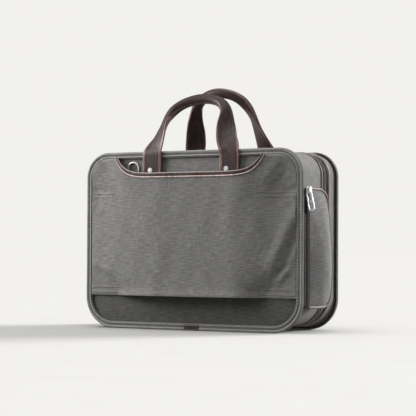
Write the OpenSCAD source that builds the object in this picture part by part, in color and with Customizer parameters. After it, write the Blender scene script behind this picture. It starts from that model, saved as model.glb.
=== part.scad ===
// Laptop briefcase with a trolley sleeve: a soft case of two bound halves that
// hang open on a bottom fold, with two folding leather handles.
// X runs across the case, Y from the trolley side (0) to the front, Z up from the floor.

/* [Case] */
// Width over the two side bindings
case_w = 420; // [400:1:440]
// Height over the top and bottom bindings
case_h = 306; // [296:1:316]
// Depth over the faces of the two bindings
case_d = 146.6; // [144:0.2:152]
// Radius of the two top corners
top_r = 44; // [38:1:50]
// Radius of the two bottom corners
bottom_r = 55; // [50:1:60]

/* [Bindings and walls] */
// Width of the binding tape on the face of a panel
rim_w = 9.6; // [8:0.2:12]
// Depth of a binding, from its face into the case
rim_depth = 7.5; // [7:0.5:9]
// How far the bindings stand proud of the side walls
rim_proud = 5; // [4:0.5:6]
// Extra clearance under the bottom wall
bottom_lift = 4; // [3:0.5:6]
// Thickness of the padded walls
wall_t = 2.5; // [2:0.1:3]
// Thickness of the front and rear panels
panel_t = 3; // [2.5:0.1:3]

/* [Main zip] */
// Distance of the zip's middle line from the rear face
zip_y = 99; // [96:0.5:102]
// Width of one half of the zip tape and chain
zip_half_w = 12.4; // [11:0.2:13]
// Gap between the two halves of a chain
chain_gap = 1.2; // [1:0.1:1.4]
// Width of the leather piping beside the zip
piping_w = 3; // [2:0.5:4]

/* [Trolley sleeve] */
// Height of the sleeve's open bottom edge
sleeve_z = 57.5; // [50:0.5:65]
// Height of the middle of the sleeve's scooped top
scoop_z = 268.5; // [262:0.5:272]
// How far the sleeve's middle stands out from the rear face
sleeve_bulge = 17; // [16.4:0.2:20]
// Width of the leather trim along the scoop
trim_w = 9; // [5:0.5:9]

/* [Handles] */
// Distance of each handle leg from the middle
leg_x = 74; // [70:1:78]
// Width of a handle leg at its foot
leg_w = 37; // [30:1:38]
// Thickness of the leather of a leg
leg_t = 3.2; // [2.6:0.2:3.4]
// Length from a handle's fold to the middle of its grip
handle_len = 110.9; // [108:0.1:114]
// Radius of the rolled grip
grip_r = 8.7; // [7:0.1:9]
// Lean of the rear handle towards the middle of the case
rear_lean = 27.9; // [20:0.1:28]
// Lean of the front handle towards the middle of the case
front_lean = 21.7; // [18:0.1:26]

/* [Side pocket] */
// Height of the pocket's lower edge
pocket_z0 = 43; // [38:1:48]
// Height of the pocket's upper edge
pocket_z1 = 238; // [236:0.5:242]
// Distance of the pocket's zipped rear flank from the rear face
pocket_y0 = 13.3; // [12.6:0.1:14]
// Distance of the pocket's front seam from the rear face
pocket_y1 = 81.3; // [80:0.1:82]
// Radius of the pocket's two front corners
pocket_r = 16; // [10:1:20]

/* [Front pocket] */
// Width of the front pocket
front_pocket_w = 356; // [320:2:360]
// How far the front pocket stands out from the front panel
front_pocket_d = 10.5; // [9:0.5:12]

/* [Zip pulls] */
// Length of a pull from its fold to its tip
pull_len = 38; // [32:1:38]
// Width of a pull
pull_w = 11; // [8:0.5:12]
// Thickness of a pull
pull_t = 1.6; // [1.2:0.1:1.6]

/* [Hidden] */
$fn = 48;
twill = [0.42, 0.42, 0.41];
shade = [0.29, 0.29, 0.29];
leather = [0.27, 0.18, 0.16];
steel = [0.78, 0.78, 0.79];
board = [0.16, 0.16, 0.17];

// Stations along Y, from the rear face to the front face.
wall_y0 = rim_depth;
rear_tape_y1 = zip_y - chain_gap / 2;
rear_tape_y0 = rear_tape_y1 - zip_half_w;
rear_wall_y1 = rear_tape_y0 - piping_w;
front_tape_y0 = zip_y + chain_gap / 2;
front_tape_y1 = front_tape_y0 + zip_half_w;
front_wall_y0 = front_tape_y1 + piping_w;
front_wall_y1 = case_d - rim_depth;
// Insets of the nested outlines, measured inwards from the outline of the bindings.
wall_in = rim_proud + wall_t;
piping_in = rim_proud - 1.4;
tape_in = rim_proud + 0.6;
board_in = wall_in + 0.5;
side_x = case_w / 2 - rim_proud;
floor_z = bottom_lift + wall_in;
sleeve_seam_y = 1.5;
sleeve_t = 2;
board_t = 1.2;
flange_t = 1.5;
base_t = 2;
tab_gap = 0.3;
fold_y = -tab_gap - leg_t / 2;
fold_z = case_h + 1;
tab_top_z = case_h - 2.2;
tab_z = 232;
rivet_z = 273;
rivet_dx = -4;
shank_r = 1.5;
d_ring_x = 115;
d_ring_y = 1.8;
d_ring_z = 268;
d_ring_r = 10.9;
d_ring_wire_r = 1.6;
d_ring_leg = 8.5;
slide_top = 3.6;
fold_out = 3.4;
zip_x = 214;
side_slider_z = 235.5;
main_slider_x = 15;
front_zip_z = 205;
front_slider_x = 138;
pocket_wall = 2;

// Points of an arc about (cx, cz).
function arc(cx, cz, r, a0, a1, n = 8) =
  [for (i = [0:n]) let (a = a0 + (a1 - a0) * i / n) [cx + r * cos(a), cz + r * sin(a)]];

// The case's outline, moved inwards by inset, with its bottom edge raised by lift.
function outline(inset, lift = 0) =
  let (x = case_w / 2 - inset, z0 = inset + lift, z1 = case_h - inset, rt = top_r - inset, rb = bottom_r - inset)
  concat(arc(x - rb, z0 + rb, rb, -90, 0), arc(x - rt, z1 - rt, rt, 0, 90),
    arc(rt - x, z1 - rt, rt, 90, 180), arc(rb - x, z0 + rb, rb, 180, 270));

// A rectangle with its own radius at the bottom and at the top corners.
function rounded(x, z0, z1, rb, rt) =
  concat(arc(x - rb, z0 + rb, rb, -90, 0), arc(x - rt, z1 - rt, rt, 0, 90),
    arc(rt - x, z1 - rt, rt, 90, 180), arc(rb - x, z0 + rb, rb, 180, 270));

// A flat shape of the X-Z plane, made solid from y0 to y1.
module slab(y0, y1) {
  translate([0, y1, 0]) rotate([90, 0, 0]) linear_extrude(y1 - y0) children();
}

// A band between two insets of the outline.
module ring(y0, y1, outer, inner, lift = 0) {
  slab(y0, y1) difference() {
    polygon(outline(outer, lift));
    polygon(outline(inner, lift));
  }
}

// An upright sheet inside the case, cut off level at z1.
module sheet(y0, y1, z1, inset = board_in) {
  slab(y0, y1) intersection() {
    polygon(outline(inset, bottom_lift));
    translate([-case_w / 2, floor_z + base_t + 0.1]) square([case_w, z1 - floor_z - base_t - 0.1]);
  }
}

// Swaps the rear side for the front side.
module at_front() {
  translate([0, case_d, 0]) mirror([0, 1, 0]) children();
}

module rim() {
  ring(0, flange_t, 0, rim_w);
  ring(0, rim_depth, 0, rim_proud);
}

module rear_panel() {
  color(twill) slab(rim_depth - panel_t, rim_depth) polygon(outline(rim_proud));
}

module rear_stiffener() {
  color(board) slab(rim_depth, rim_depth + board_t) polygon(outline(board_in, bottom_lift));
}

module rear_rim() {
  color(shade) rim();
}

module rear_gusset() {
  color(twill) ring(wall_y0, rear_wall_y1, rim_proud, wall_in, bottom_lift);
}

module rear_piping() {
  color(leather) ring(rear_wall_y1, rear_tape_y0, piping_in, wall_in, bottom_lift);
}

module rear_zip_tape() {
  color(board) ring(rear_tape_y0, rear_tape_y1, tape_in, wall_in, bottom_lift);
}

// Depth of the sleeve's outer face at x: flat over the two tubes, then eased to the side seams,
// which lie flat under the bindings' inner edges.
flat_x = 85;
rim_x = case_w / 2 - rim_w;
function ease(x) = 0.5 + 0.5 * cos(180 * min(1, max(0, (abs(x) - flat_x) / (rim_x - flat_x))));
function sleeve_y(x) = sleeve_seam_y - (sleeve_bulge + sleeve_seam_y) * ease(x);

// The sleeve's cross-section, between two offsets from its outer face.
module sleeve_band(y_out, y_in) {
  xs = concat([-side_x], [for (i = [-16:16]) i / 16 * rim_x], [side_x]);
  linear_extrude(case_h) polygon(concat([for (x = xs) [x, sleeve_y(x) + y_out]],
    [for (i = [len(xs) - 1:-1:0]) [xs[i], sleeve_y(xs[i]) + y_in]]));
}

// The sleeve's face below a scooped edge whose middle lies drop below the top of the trim. It ends
// at the bindings' inner edges, apart from the two side seams under them.
module scoop(drop) {
  half = 140 + drop * 1.2;
  rise = case_h - rim_w - scoop_z + drop;
  top = [for (i = [-14:14]) let (x = half * sin(i / 14 * 90)) [x, scoop_z - drop + rise * pow(abs(x) / half, 8.5)]];
  intersection() {
    union() {
      polygon(outline(rim_w));
      translate([-side_x, sleeve_z]) square([2 * side_x, case_h - top_r - sleeve_z]);
    }
    polygon(concat([[-side_x, sleeve_z], [-side_x, case_h - rim_w]], top,
      [[side_x, case_h - rim_w], [side_x, sleeve_z]]));
  }
}

module trolley_sleeve() {
  color(twill) intersection() {
    sleeve_band(0, sleeve_t);
    slab(-sleeve_bulge - 5, rim_depth) scoop(trim_w);
  }
}

module sleeve_trim() {
  color(leather) intersection() {
    sleeve_band(0, sleeve_t);
    slab(-sleeve_bulge - 5, rim_depth) difference() {
      scoop(0);
      scoop(trim_w);
    }
  }
}

module label_tab() {
  color(leather) translate([-12, -1, 0.5]) cube([28, 1, 9.5]);
}

module base_board() {
  color(board) translate([-150, rim_depth + board_t + 0.1, floor_z]) cube([300, rear_tape_y1 - rim_depth - board_t - 1, base_t]);
}

module laptop_pad() {
  color(twill) sheet(26, 30, 250);
}

module tablet_pocket() {
  color(shade) sheet(47, 49, 200);
}

// A leather tab sewn to the panel, which holds one leg of a handle.
module handle_tab(side) {
  color(leather) difference() {
    translate([side * leg_x - leg_w / 2, 0, 0]) union() {
      translate([0, -tab_gap - leg_t, tab_z]) cube([leg_w, leg_t, tab_top_z - tab_z]);
      translate([0, -tab_gap, tab_z]) cube([leg_w, rim_depth - panel_t + tab_gap, case_h - rim_w - 1 - tab_z]);
    }
    translate([side * leg_x + rivet_dx, 10, rivet_z]) rotate([90, 0, 0]) cylinder(r = shank_r, h = 20);
  }
}

module rivet(side) {
  color(steel) translate([side * leg_x + rivet_dx, -tab_gap - leg_t, rivet_z]) rotate([90, 0, 0]) {
    translate([0, 0, -leg_t - 4]) cylinder(r = shank_r - 0.05, h = leg_t + 4);
    cylinder(r = 4.4, h = 0.7);
    translate([0, 0, 0.7]) cylinder(r = 3, h = 0.5);
  }
}

module rear_handle_tab_left() { handle_tab(-1); }
module rear_handle_tab_right() { handle_tab(1); }
module rear_rivet_left() { rivet(-1); }
module rear_rivet_right() { rivet(1); }
module front_handle_tab_left() { at_front() handle_tab(-1); }
module front_handle_tab_right() { at_front() handle_tab(1); }
module front_rivet_left() { at_front() rivet(-1); }
module front_rivet_right() { at_front() rivet(1); }

// The grip is an arc of this radius and half angle, with its ends where the legs stop.
grip_arc_r = 68;
grip_half = 50;
grip_c = handle_len - grip_arc_r;
function grip_point(r) = [r * sin(grip_half), grip_c + r * cos(grip_half)];

// Both legs of a handle, upright over their fold at the origin.
module handle_legs() {
  x0 = leg_x - leg_w / 2;
  x1 = leg_x + leg_w / 2;
  color(leather) for (side = [-1, 1]) scale([side, 1, 1]) union() {
    slab(-leg_t / 2, leg_t / 2) polygon(concat(
      [[x0, 0], [x1, 0], [x1 - 4.5, 10], [x1 - 9, 20], [x1 - 16.5, 36], [x1 - 22.5, 52], [x1 - 26.5, 68]],
      [grip_point(grip_arc_r + grip_r), grip_point(grip_arc_r - grip_r)],
      [[x0 - 5, 70], [x0 - 1.7, 53], [x0 - 1, 32], [x0 + 0.5, 12]]));
    translate([x0, 0, 0]) rotate([0, 90, 0]) cylinder(r = leg_t / 2, h = leg_w);
  }
}

module handle_grip() {
  color(leather) translate([0, 0, grip_c]) rotate([90, 0, 0])
    rotate([0, 0, 90 - grip_half]) rotate_extrude(angle = 2 * grip_half) translate([grip_arc_r, 0]) circle(r = grip_r);
}

module rear_fold() { translate([0, fold_y, fold_z]) rotate([-rear_lean, 0, 0]) children(); }
module front_fold() { translate([0, case_d - fold_y, fold_z]) rotate([front_lean, 0, 0]) children(); }
module rear_handle_legs() { rear_fold() handle_legs(); }
module rear_handle_grip() { rear_fold() handle_grip(); }
module front_handle_legs() { front_fold() handle_legs(); }
module front_handle_grip() { front_fold() handle_grip(); }

// A ring of wire with one straight side, which turns in the fold of its tab.
module d_ring(side) {
  color(steel) translate([side * d_ring_x, d_ring_y, d_ring_z]) {
    translate([-d_ring_r, 0, 0]) rotate([0, 90, 0]) cylinder(r = d_ring_wire_r, h = 2 * d_ring_r);
    for (leg = [-1, 1]) translate([leg * d_ring_r, 0, 0]) {
      sphere(r = d_ring_wire_r);
      cylinder(r = d_ring_wire_r, h = d_ring_leg);
    }
    translate([0, 0, d_ring_leg]) rotate([90, 0, 0]) rotate_extrude(angle = 180) translate([d_ring_r, 0]) circle(r = d_ring_wire_r);
  }
}

module d_ring_tab(side) {
  color(leather) translate([side * d_ring_x, 0, 0]) difference() {
    translate([-8, d_ring_y - 3.2, 246]) cube([16, rim_depth - panel_t - d_ring_y + 3.2, 25.2]);
    translate([-9, d_ring_y, d_ring_z]) rotate([0, 90, 0]) cylinder(r = d_ring_wire_r + 0.1, h = 18);
  }
}

module d_ring_left() { d_ring(-1); }
module d_ring_right() { at_front() d_ring(1); }
module d_ring_tab_left() { d_ring_tab(-1); }
module d_ring_tab_right() { at_front() d_ring_tab(1); }

// The pocket's plan: its face swells out towards the front seam.
module pocket_plan(inner = 0) {
  linear_extrude(case_h) polygon(inner == 0 ?
    [[side_x + tab_gap, pocket_y0 + 2.5], [zip_x + 0.6, pocket_y0 + 2.5], [zip_x + 0.6, pocket_y0], [219, pocket_y0],
     [221, 15.3], [224, 23], [228.5, 43], [231, 62], [230.5, 74], [226, pocket_y1], [side_x + tab_gap, pocket_y1]] :
    [[200, 15.2], [217, 15.2], [219, 17], [222, 24], [226.5, 43.5], [229, 62], [228.5, 73], [224.5, pocket_y1 - pocket_wall],
     [200, pocket_y1 - pocket_wall]]);
}

// The pocket's side view, moved inwards by inset, with its two front corners rounded.
module pocket_side(inset) {
  y1 = pocket_y1 - inset;
  z0 = pocket_z0 + inset;
  z1 = pocket_z1 - inset;
  r = pocket_r - inset;
  translate([190, 0, 0]) rotate([90, 0, 90]) linear_extrude(50)
    polygon(concat([[0, z1], [0, z0]], arc(y1 - r, z0 + r, r, -90, 0), arc(y1 - r, z1 - r, r, 0, 90)));
}

module side_pocket_shell() {
  color(twill) difference() {
    intersection() {
      pocket_plan();
      pocket_side(0);
    }
    intersection() {
      pocket_plan(1);
      pocket_side(pocket_wall);
    }
    translate([200, 15.2, pocket_z1 - 5]) cube([19, 4, 10]);
  }
}

module side_pocket_piping() {
  color(leather) intersection() {
    difference() {
      pocket_side(-1.6);
      pocket_side(0);
    }
    difference() {
      translate([0.8, 0, 0]) pocket_plan();
      translate([-4, 0, 0]) pocket_plan();
    }
    translate([190, pocket_y0 + 6, 0]) cube([60, 90, case_h]);
  }
}

module side_zip_tape() {
  color(board) translate([side_x, pocket_y0, pocket_z0 + 2]) cube([zip_x - 0.6 - side_x, 1.9, pocket_z1 - pocket_z0 - 2]);
}

// A slider on a chain that runs along Z with its outer face at y = 0; outwards is -Y.
module slider() {
  color(steel) {
    translate([-4, -1.8, -6]) cube([8, 1.5, 12]);
    translate([-0.4, -0.3, -6]) cube([0.8, slide_top, 12]);
    translate([-4, slide_top - 0.3, -6]) cube([8, 1.2, 12]);
    translate([-0.7, 0, 3.3]) difference() {
      translate([0, -fold_out - 2.7, -2.7]) cube([1.4, fold_out + 0.9, 5.4]);
      translate([-1, -fold_out - 1.6, -1.6]) cube([3.4, 3.2, 3.2]);
    }
  }
}

// A pull that hangs from the barrel in its eye's upper rim, at the origin, leaning sideways by lean.
eye_r = 3.7;
eye_hole_r = 1.9;
eye_z = -2.8;
barrel_r = 1;
module pull(lean = 0) {
  color(steel) union() {
    translate([-0.55, 0, 0]) rotate([0, 90, 0]) cylinder(r = barrel_r, h = 1.1);
    rotate([0, -lean, 0]) slab(-pull_t / 2, pull_t / 2) difference() {
      union() {
        translate([0, eye_z]) circle(r = eye_r);
        polygon([[-3, eye_z - 1], [-pull_w / 2, -9], [-pull_w / 2, 1.5 - pull_len], [1.5 - pull_w / 2, -pull_len],
          [pull_w / 2 - 1.5, -pull_len], [pull_w / 2, 1.5 - pull_len], [pull_w / 2, -9], [3, eye_z - 1]]);
      }
      translate([0, eye_z]) circle(r = eye_hole_r);
      translate([-2.8, -22]) square([5.6, 13]);
      translate([-3.7, 2.2 - pull_len]) square([7.4, pull_len - 26]);
    }
  }
}

module pull_at_fold() { translate([0, -fold_out, 3.3]) children(); }
module side_place() { translate([zip_x, pocket_y0, side_slider_z]) children(); }
module side_slider() { side_place() slider(); }
module side_pull() { side_place() pull_at_fold() pull(13); }

// The main sliders meet over the middle of the case, their pulls lying outwards.
module main_place(side) {
  translate([side * main_slider_x, zip_y, case_h - tape_in]) scale([side, 1, 1])
    rotate([0, 0, 90]) rotate([-90, 0, 0]) children();
}
module main_slider_left() { main_place(-1) slider(); }
module main_pull_left() { main_place(-1) pull_at_fold() pull(); }
module main_slider_right() { main_place(1) slider(); }
module main_pull_right() { main_place(1) pull_at_fold() pull(); }

module front_panel() { at_front() rear_panel(); }
module front_stiffener() { at_front() rear_stiffener(); }
module front_rim() { at_front() rear_rim(); }
module front_gusset() { color(twill) ring(front_wall_y0, front_wall_y1, rim_proud, wall_in, bottom_lift); }
module front_piping() { color(leather) ring(front_tape_y1, front_wall_y0, piping_in, wall_in, bottom_lift); }
module front_zip_tape() { color(board) ring(front_tape_y0, front_tape_y1, tape_in, wall_in, bottom_lift); }
module organizer_pocket() { color(shade) sheet(131, 132.6, 170); }

// The pocket on the front panel: a shallow box with a zip across its face.
front_face_y = case_d - rim_depth + panel_t;
front_pocket_y = front_face_y + front_pocket_d;
module front_pocket() {
  x = front_pocket_w / 2;
  color(twill) difference() {
    slab(front_face_y, front_pocket_y) polygon(rounded(x, 24, 222, 34, 14));
    slab(front_face_y - 1, front_pocket_y - 1.9) polygon(rounded(x - 2, 26, 220, 32, 12));
    translate([-155, front_pocket_y - 3, front_zip_z - chain_gap / 2]) cube([310, 5, chain_gap]);
  }
}

module front_pocket_welt() {
  color(leather) for (z = [front_zip_z - 7.5, front_zip_z + 4.5])
    translate([-158, front_pocket_y, z]) cube([316, 1, 3]);
}

module front_place() {
  translate([front_slider_x, front_pocket_y, front_zip_z]) rotate([0, 90, 0]) rotate([0, 0, 180]) children();
}
module front_slider() { front_place() slider(); }
module front_pull() { front_place() pull_at_fold() pull(); }

rear_panel();
rear_stiffener();
rear_rim();
rear_gusset();
rear_piping();
rear_zip_tape();
trolley_sleeve();
sleeve_trim();
label_tab();
base_board();
laptop_pad();
tablet_pocket();
rear_handle_tab_left();
rear_handle_tab_right();
rear_rivet_left();
rear_rivet_right();
d_ring_tab_left();
d_ring_tab_right();
side_zip_tape();
rear_handle_legs();
rear_handle_grip();
d_ring_left();
d_ring_right();
side_pocket_shell();
side_pocket_piping();
side_slider();
side_pull();
main_slider_left();
main_pull_left();
main_slider_right();
main_pull_right();
front_panel();
front_stiffener();
front_rim();
front_gusset();
front_piping();
front_zip_tape();
organizer_pocket();
front_pocket();
front_pocket_welt();
front_slider();
front_pull();
front_handle_tab_left();
front_handle_tab_right();
front_rivet_left();
front_rivet_right();
front_handle_legs();
front_handle_grip();
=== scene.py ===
"""A laptop briefcase with a trolley sleeve: its cloth, leather and steel, over the CAD frame.

Lengths are in millimetres until a mesh is made. X runs across the case, Y from the trolley side
to the front, and Z up from the floor, as in the CAD frame.
"""

import bmesh
import bpy
import numpy as np
from mathutils import Matrix
from mathutils import Vector


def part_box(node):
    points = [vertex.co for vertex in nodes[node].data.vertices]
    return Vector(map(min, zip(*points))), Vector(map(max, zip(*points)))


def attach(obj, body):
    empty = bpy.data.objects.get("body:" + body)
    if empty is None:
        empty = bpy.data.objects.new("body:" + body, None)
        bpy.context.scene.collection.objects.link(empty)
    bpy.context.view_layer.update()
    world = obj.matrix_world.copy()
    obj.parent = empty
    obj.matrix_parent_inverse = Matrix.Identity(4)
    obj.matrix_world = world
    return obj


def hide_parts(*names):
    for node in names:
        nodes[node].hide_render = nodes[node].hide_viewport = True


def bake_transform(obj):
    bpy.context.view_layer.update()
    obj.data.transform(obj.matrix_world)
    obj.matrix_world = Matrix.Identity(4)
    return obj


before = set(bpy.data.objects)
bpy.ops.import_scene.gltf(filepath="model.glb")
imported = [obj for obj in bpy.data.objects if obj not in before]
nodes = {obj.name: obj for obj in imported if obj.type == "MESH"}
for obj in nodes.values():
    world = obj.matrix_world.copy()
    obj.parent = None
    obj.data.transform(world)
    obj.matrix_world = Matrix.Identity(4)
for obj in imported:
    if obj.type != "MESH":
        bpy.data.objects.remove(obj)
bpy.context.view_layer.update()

MM = 0.001
TURN = 2 * np.pi


def box_mm(node):
    """A CAD node's lowest and highest corners, in millimetres."""
    low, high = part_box(node)
    return np.array(low) / MM, np.array(high) / MM


# Sizes that the CAD frame gives.
HALF_W, RIM_DEPTH, HEIGHT = box_mm("rear_rim")[1]
DEPTH = box_mm("front_rim")[1][1]
PANEL_Y = box_mm("rear_panel")[0][1]
TAPE_Y0, TAPE_Y1 = (corner[1] for corner in box_mm("rear_zip_tape"))
WALL_Y1 = box_mm("rear_gusset")[1][1]
SLEEVE_Z = box_mm("trolley_sleeve")[0][2]
POCKET_LOW, POCKET_HIGH = box_mm("side_pocket_shell")
FRONT_POCKET_LOW, FRONT_POCKET_HIGH = box_mm("front_pocket")
ZIP_Y = TAPE_Y1 + 0.6
# Sizes that part.scad gives: corner radii, binding width, how far the binding stands out past the
# side walls, how far the walls' bottom is lifted, the inside's inset, the sleeve's scoop and its
# trim, and the handles' hinge.
TOP_R = 44.0
BOTTOM_R = 55.0
RIM_W = 9.6
PROUD = 5.0
LIFT = 4.0
INSIDE = 8.0
SIDE_X = HALF_W - PROUD
SCOOP_Z = 268.5
SCOOP_HALF = 140
TRIM_W = 9.0
FOLD_Y = -1.9
FOLD_Z = HEIGHT + 1


# ---------------------------------------------------------------- curves and surfaces


def smooth(t):
    """The soft step from 0 to 1."""
    t = np.clip(t, 0, 1)
    return t * t * (3 - 2 * t)


def bell(offset, width):
    """A soft bump, 1 high where offset is 0."""
    return np.exp(-((offset / width) ** 2))


def shortfall(t):
    """How far a rounded corner of radius 1 cuts in; t is 0 where it starts and 1 where it ends."""
    return 1 - np.sqrt(1 - np.clip(t, 0, 1) ** 2)


def corners(z, low, high, low_r, high_r):
    """How far the rounded corners of an upright side cut in at a height."""
    return low_r * shortfall((low + low_r - z) / low_r) + high_r * shortfall((z - high + high_r) / high_r)


def wobble(u, v, size, seed):
    """Smooth unevenness between about -1 and 1, with features of that size."""
    rng = np.random.default_rng(seed)
    total = 0
    for _ in range(7):
        angle, phase = rng.uniform(0, TURN, 2)
        k = TURN / size * rng.uniform(0.6, 1.5)
        total = total + np.sin(k * (u * np.cos(angle) + v * np.sin(angle)) + phase)
    return total / 3.2


def stacked(x, y, z):
    """Points from three arrays or numbers, spread to one shape."""
    return np.stack(np.broadcast_arrays(x, y, z), -1)


def unit(vectors):
    """Vectors of length 1."""
    return vectors / np.linalg.norm(vectors, axis=-1, keepdims=True)


def totals(steps):
    """Running totals from 0."""
    return np.concatenate([[0], np.cumsum(steps)])


def distances(path):
    """How far along a polyline each of its points lies."""
    return totals(np.linalg.norm(np.diff(path, axis=0), axis=1))


def lengths(points, axis):
    """Mean distance along one axis of a grid of points, from 0."""
    return totals(np.linalg.norm(np.diff(points, axis=axis), axis=2).mean(1 - axis))


def sampled(path, along, at):
    """A path's points and other columns at some distances, where along gives its points' own."""
    return np.stack([np.interp(at, along, column) for column in path.T], 1)


def even(path, count, closed=False):
    """count points along a polyline, evenly spaced."""
    path = np.vstack([path, path[:1]]) if closed else np.asarray(path, float)
    along = distances(path)
    return sampled(path, along, np.linspace(0, along[-1], count, endpoint=not closed))


def curve(points, count, closed=False):
    """count points along a smooth curve through points, evenly spaced."""
    p = np.asarray(points, float)
    if closed:
        p = np.vstack([p[-1:], p, p[:2]])
    else:
        p = np.vstack([2 * p[:1] - p[1:2], p, 2 * p[-1:] - p[-2:-1]])
    t = np.linspace(0, 1, 16, endpoint=False)[:, None]
    dense = []
    for a, b, c, d in zip(p[:-3], p[1:-2], p[2:-1], p[3:]):
        bend = 2 * a - 5 * b + 4 * c - d + t * (3 * (b - c) + d - a)
        dense.append(b + 0.5 * t * (c - a + t * bend))
    dense = np.vstack(dense) if closed else np.vstack(dense + [p[-2:-1]])
    return even(dense, count, closed)


def crowded(count, share):
    """Numbers from -1 to 1 that crowd towards both ends, the more so as share nears 1."""
    return np.sin(np.linspace(-1, 1, count) * np.pi / 2 * share) / np.sin(np.pi / 2 * share)


def heights(low, high, count=90):
    """Heights that crowd towards both ends, where the outline curves."""
    t = 0.5 - 0.5 * np.cos(np.linspace(0.02, 0.98, count) * np.pi)
    t = (t - t[0]) / (t[-1] - t[0])
    return low + (high - low) * t


# The distance between the sections swept round the outline.
STEP = 3.0


def outline(lift=LIFT, step=STEP):
    """Points and outward normals (x, z, nx, nz) round the case, from the middle of the bottom."""
    path = [[0, lift, 0, -1]]
    for cx, cz, r, start in ((HALF_W - BOTTOM_R, lift + BOTTOM_R, BOTTOM_R, -90),
                             (HALF_W - TOP_R, HEIGHT - TOP_R, TOP_R, 0),
                             (TOP_R - HALF_W, HEIGHT - TOP_R, TOP_R, 90),
                             (BOTTOM_R - HALF_W, lift + BOTTOM_R, BOTTOM_R, 180)):
        for angle in np.radians(np.linspace(start, start + 90, 50)):
            nx, nz = np.cos(angle), np.sin(angle)
            path.append([cx + r * nx, cz + r * nz, nx, nz])
    path = np.array(path + path[:1])
    along = distances(path[:, :2])
    count = int(round(along[-1] / step))
    return sampled(path, along, np.linspace(0, along[-1], count, endpoint=False))


def around(section, lift=LIFT, step=STEP):
    """A section of (inset, y) points, swept round the outline."""
    x, z, nx, nz = outline(lift, step).T[:, :, None]
    inset, y = np.asarray(section, float).T
    return stacked(x - nx * inset, y, z - nz * inset)


def half_width(z, inset, lift=0.0):
    """Half of the outline's width at a height."""
    cut = corners(z, inset + lift, HEIGHT - inset, BOTTOM_R - inset, TOP_R - inset)
    return HALF_W - inset - cut


def filled(inset, lift, z_rows, cols, depth):
    """A grid over the inside of the outline. depth(x, z) gives its Y."""
    x = half_width(z_rows, inset, lift)[:, None] * crowded(cols, 0.92)
    z = np.broadcast_to(z_rows[:, None], x.shape)
    return stacked(x, depth(x, z), z)


def facing(side, directions):
    """Directions on the trolley side, or turned to suit the front."""
    return directions * np.array([1, -1, 1]) if side == "front" else directions


def on_side(side, points):
    """Points on the trolley side, or the same points on the front."""
    return facing(side, points) + np.array([0, DEPTH if side == "front" else 0, 0])


# ---------------------------------------------------------------- meshes


def in_scene(name, data):
    """A new object in the scene."""
    obj = bpy.data.objects.new(name, data)
    bpy.context.scene.collection.objects.link(obj)
    return obj


def shown(name, mesh, sharp):
    """An object with smooth faces, except where they meet at more than sharp degrees."""
    mesh.polygons.foreach_set("use_smooth", [True] * len(mesh.polygons))
    mesh.set_sharp_from_angle(angle=np.radians(sharp))
    return in_scene(name, mesh)


def new_object(name, verts, faces, uvs, materials, picked=None, sharp=40):
    """A mesh object from millimetres, with a metric UV map and outward faces."""
    mesh = bpy.data.meshes.new(name)
    mesh.from_pydata((np.asarray(verts) * MM).tolist(), [], [list(map(int, f)) for f in faces])
    mesh.uv_layers.new(name="metric")
    mesh.uv_layers["metric"].data.foreach_set("uv", np.asarray(uvs, np.float32).ravel())
    for material in materials if isinstance(materials, list) else [materials]:
        mesh.materials.append(material)
    if picked is not None:
        mesh.polygons.foreach_set("material_index", np.asarray(picked, np.int32))
    bm = bmesh.new()
    bm.from_mesh(mesh)
    bmesh.ops.recalc_face_normals(bm, faces=bm.faces)
    bm.to_mesh(mesh)
    bm.free()
    return shown(name, mesh, sharp)


def cells(rows, cols):
    """Row and column of each face in a grid."""
    i, j = np.meshgrid(np.arange(rows), np.arange(cols), indexing="ij")
    return i.ravel(), j.ravel()


def grid(name, points, materials, ring=False, swap=False, pick=None, sharp=40):
    """A tube whose rows of points are its sections, with closed ends, or bent into a ring.

    swap exchanges the two directions of the map. pick gives the faces' materials from their rows
    and columns.
    """
    rows, cols = points.shape[:2]
    i, j = cells(rows - (not ring), cols)
    corners_i = np.stack([i, i, i + 1, i + 1], 1)
    corners_j = np.stack([j, j + 1, j + 1, j], 1)
    v = lengths(np.concatenate([points, points[:1]]) if ring else points, 0)
    u = lengths(np.concatenate([points, points[:, :1]], 1), 1)
    uvs = np.stack([u[corners_j], v[corners_i]], 2).reshape(-1, 2)
    if swap:
        uvs = uvs[:, ::-1]
    faces = ((corners_i % rows) * cols + corners_j % cols).tolist()
    picked = None if pick is None else pick(i, j).astype(int).tolist()
    for end in () if ring else (0, rows - 1):
        faces.append([end * cols + k for k in range(cols)])
        uvs = np.vstack([uvs, np.stack([np.arange(cols) * 0.5, np.full(cols, 0.5)], 1)])
        if picked is not None:
            picked.append(picked[min(end, rows - 2) * cols])
    return new_object(name, points.reshape(-1, 3), faces, uvs, materials, picked, sharp)


def shell(name, outer, inner, materials, uv=None, pick=None, sharp=40):
    """A closed sheet between two grids of the same shape."""
    rows, cols = outer.shape[:2]
    if uv is None:
        uv = metric(outer)
    verts = np.vstack([outer.reshape(-1, 3), inner.reshape(-1, 3)])
    flat = np.vstack([uv.reshape(-1, 2)] * 2)
    i, j = cells(rows - 1, cols - 1)
    a = i * cols + j
    quads = np.stack([a, a + 1, a + cols + 1, a + cols], 1)
    n = rows * cols
    border = list(range(cols - 1)) + [k * cols + cols - 1 for k in range(rows - 1)]
    border += [n - 1 - k for k in range(cols - 1)] + [(rows - 1 - k) * cols for k in range(rows - 1)]
    after = border[1:] + border[:1]
    edge = np.stack([border, after, np.array(after) + n, np.array(border) + n], 1)
    faces = np.vstack([quads, quads + n, edge])
    picked = None
    if pick is not None:
        chosen = pick(i, j).astype(int)
        picked = np.concatenate([chosen, chosen, np.full(len(edge), chosen[0])])
    return new_object(name, verts, faces, flat[faces.ravel()], materials, picked, sharp)


def metric(points):
    """A map in millimetres for a grid of points."""
    v, u = np.meshgrid(lengths(points, 0), lengths(points, 1), indexing="ij")
    return np.stack([u, v], 2)


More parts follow.
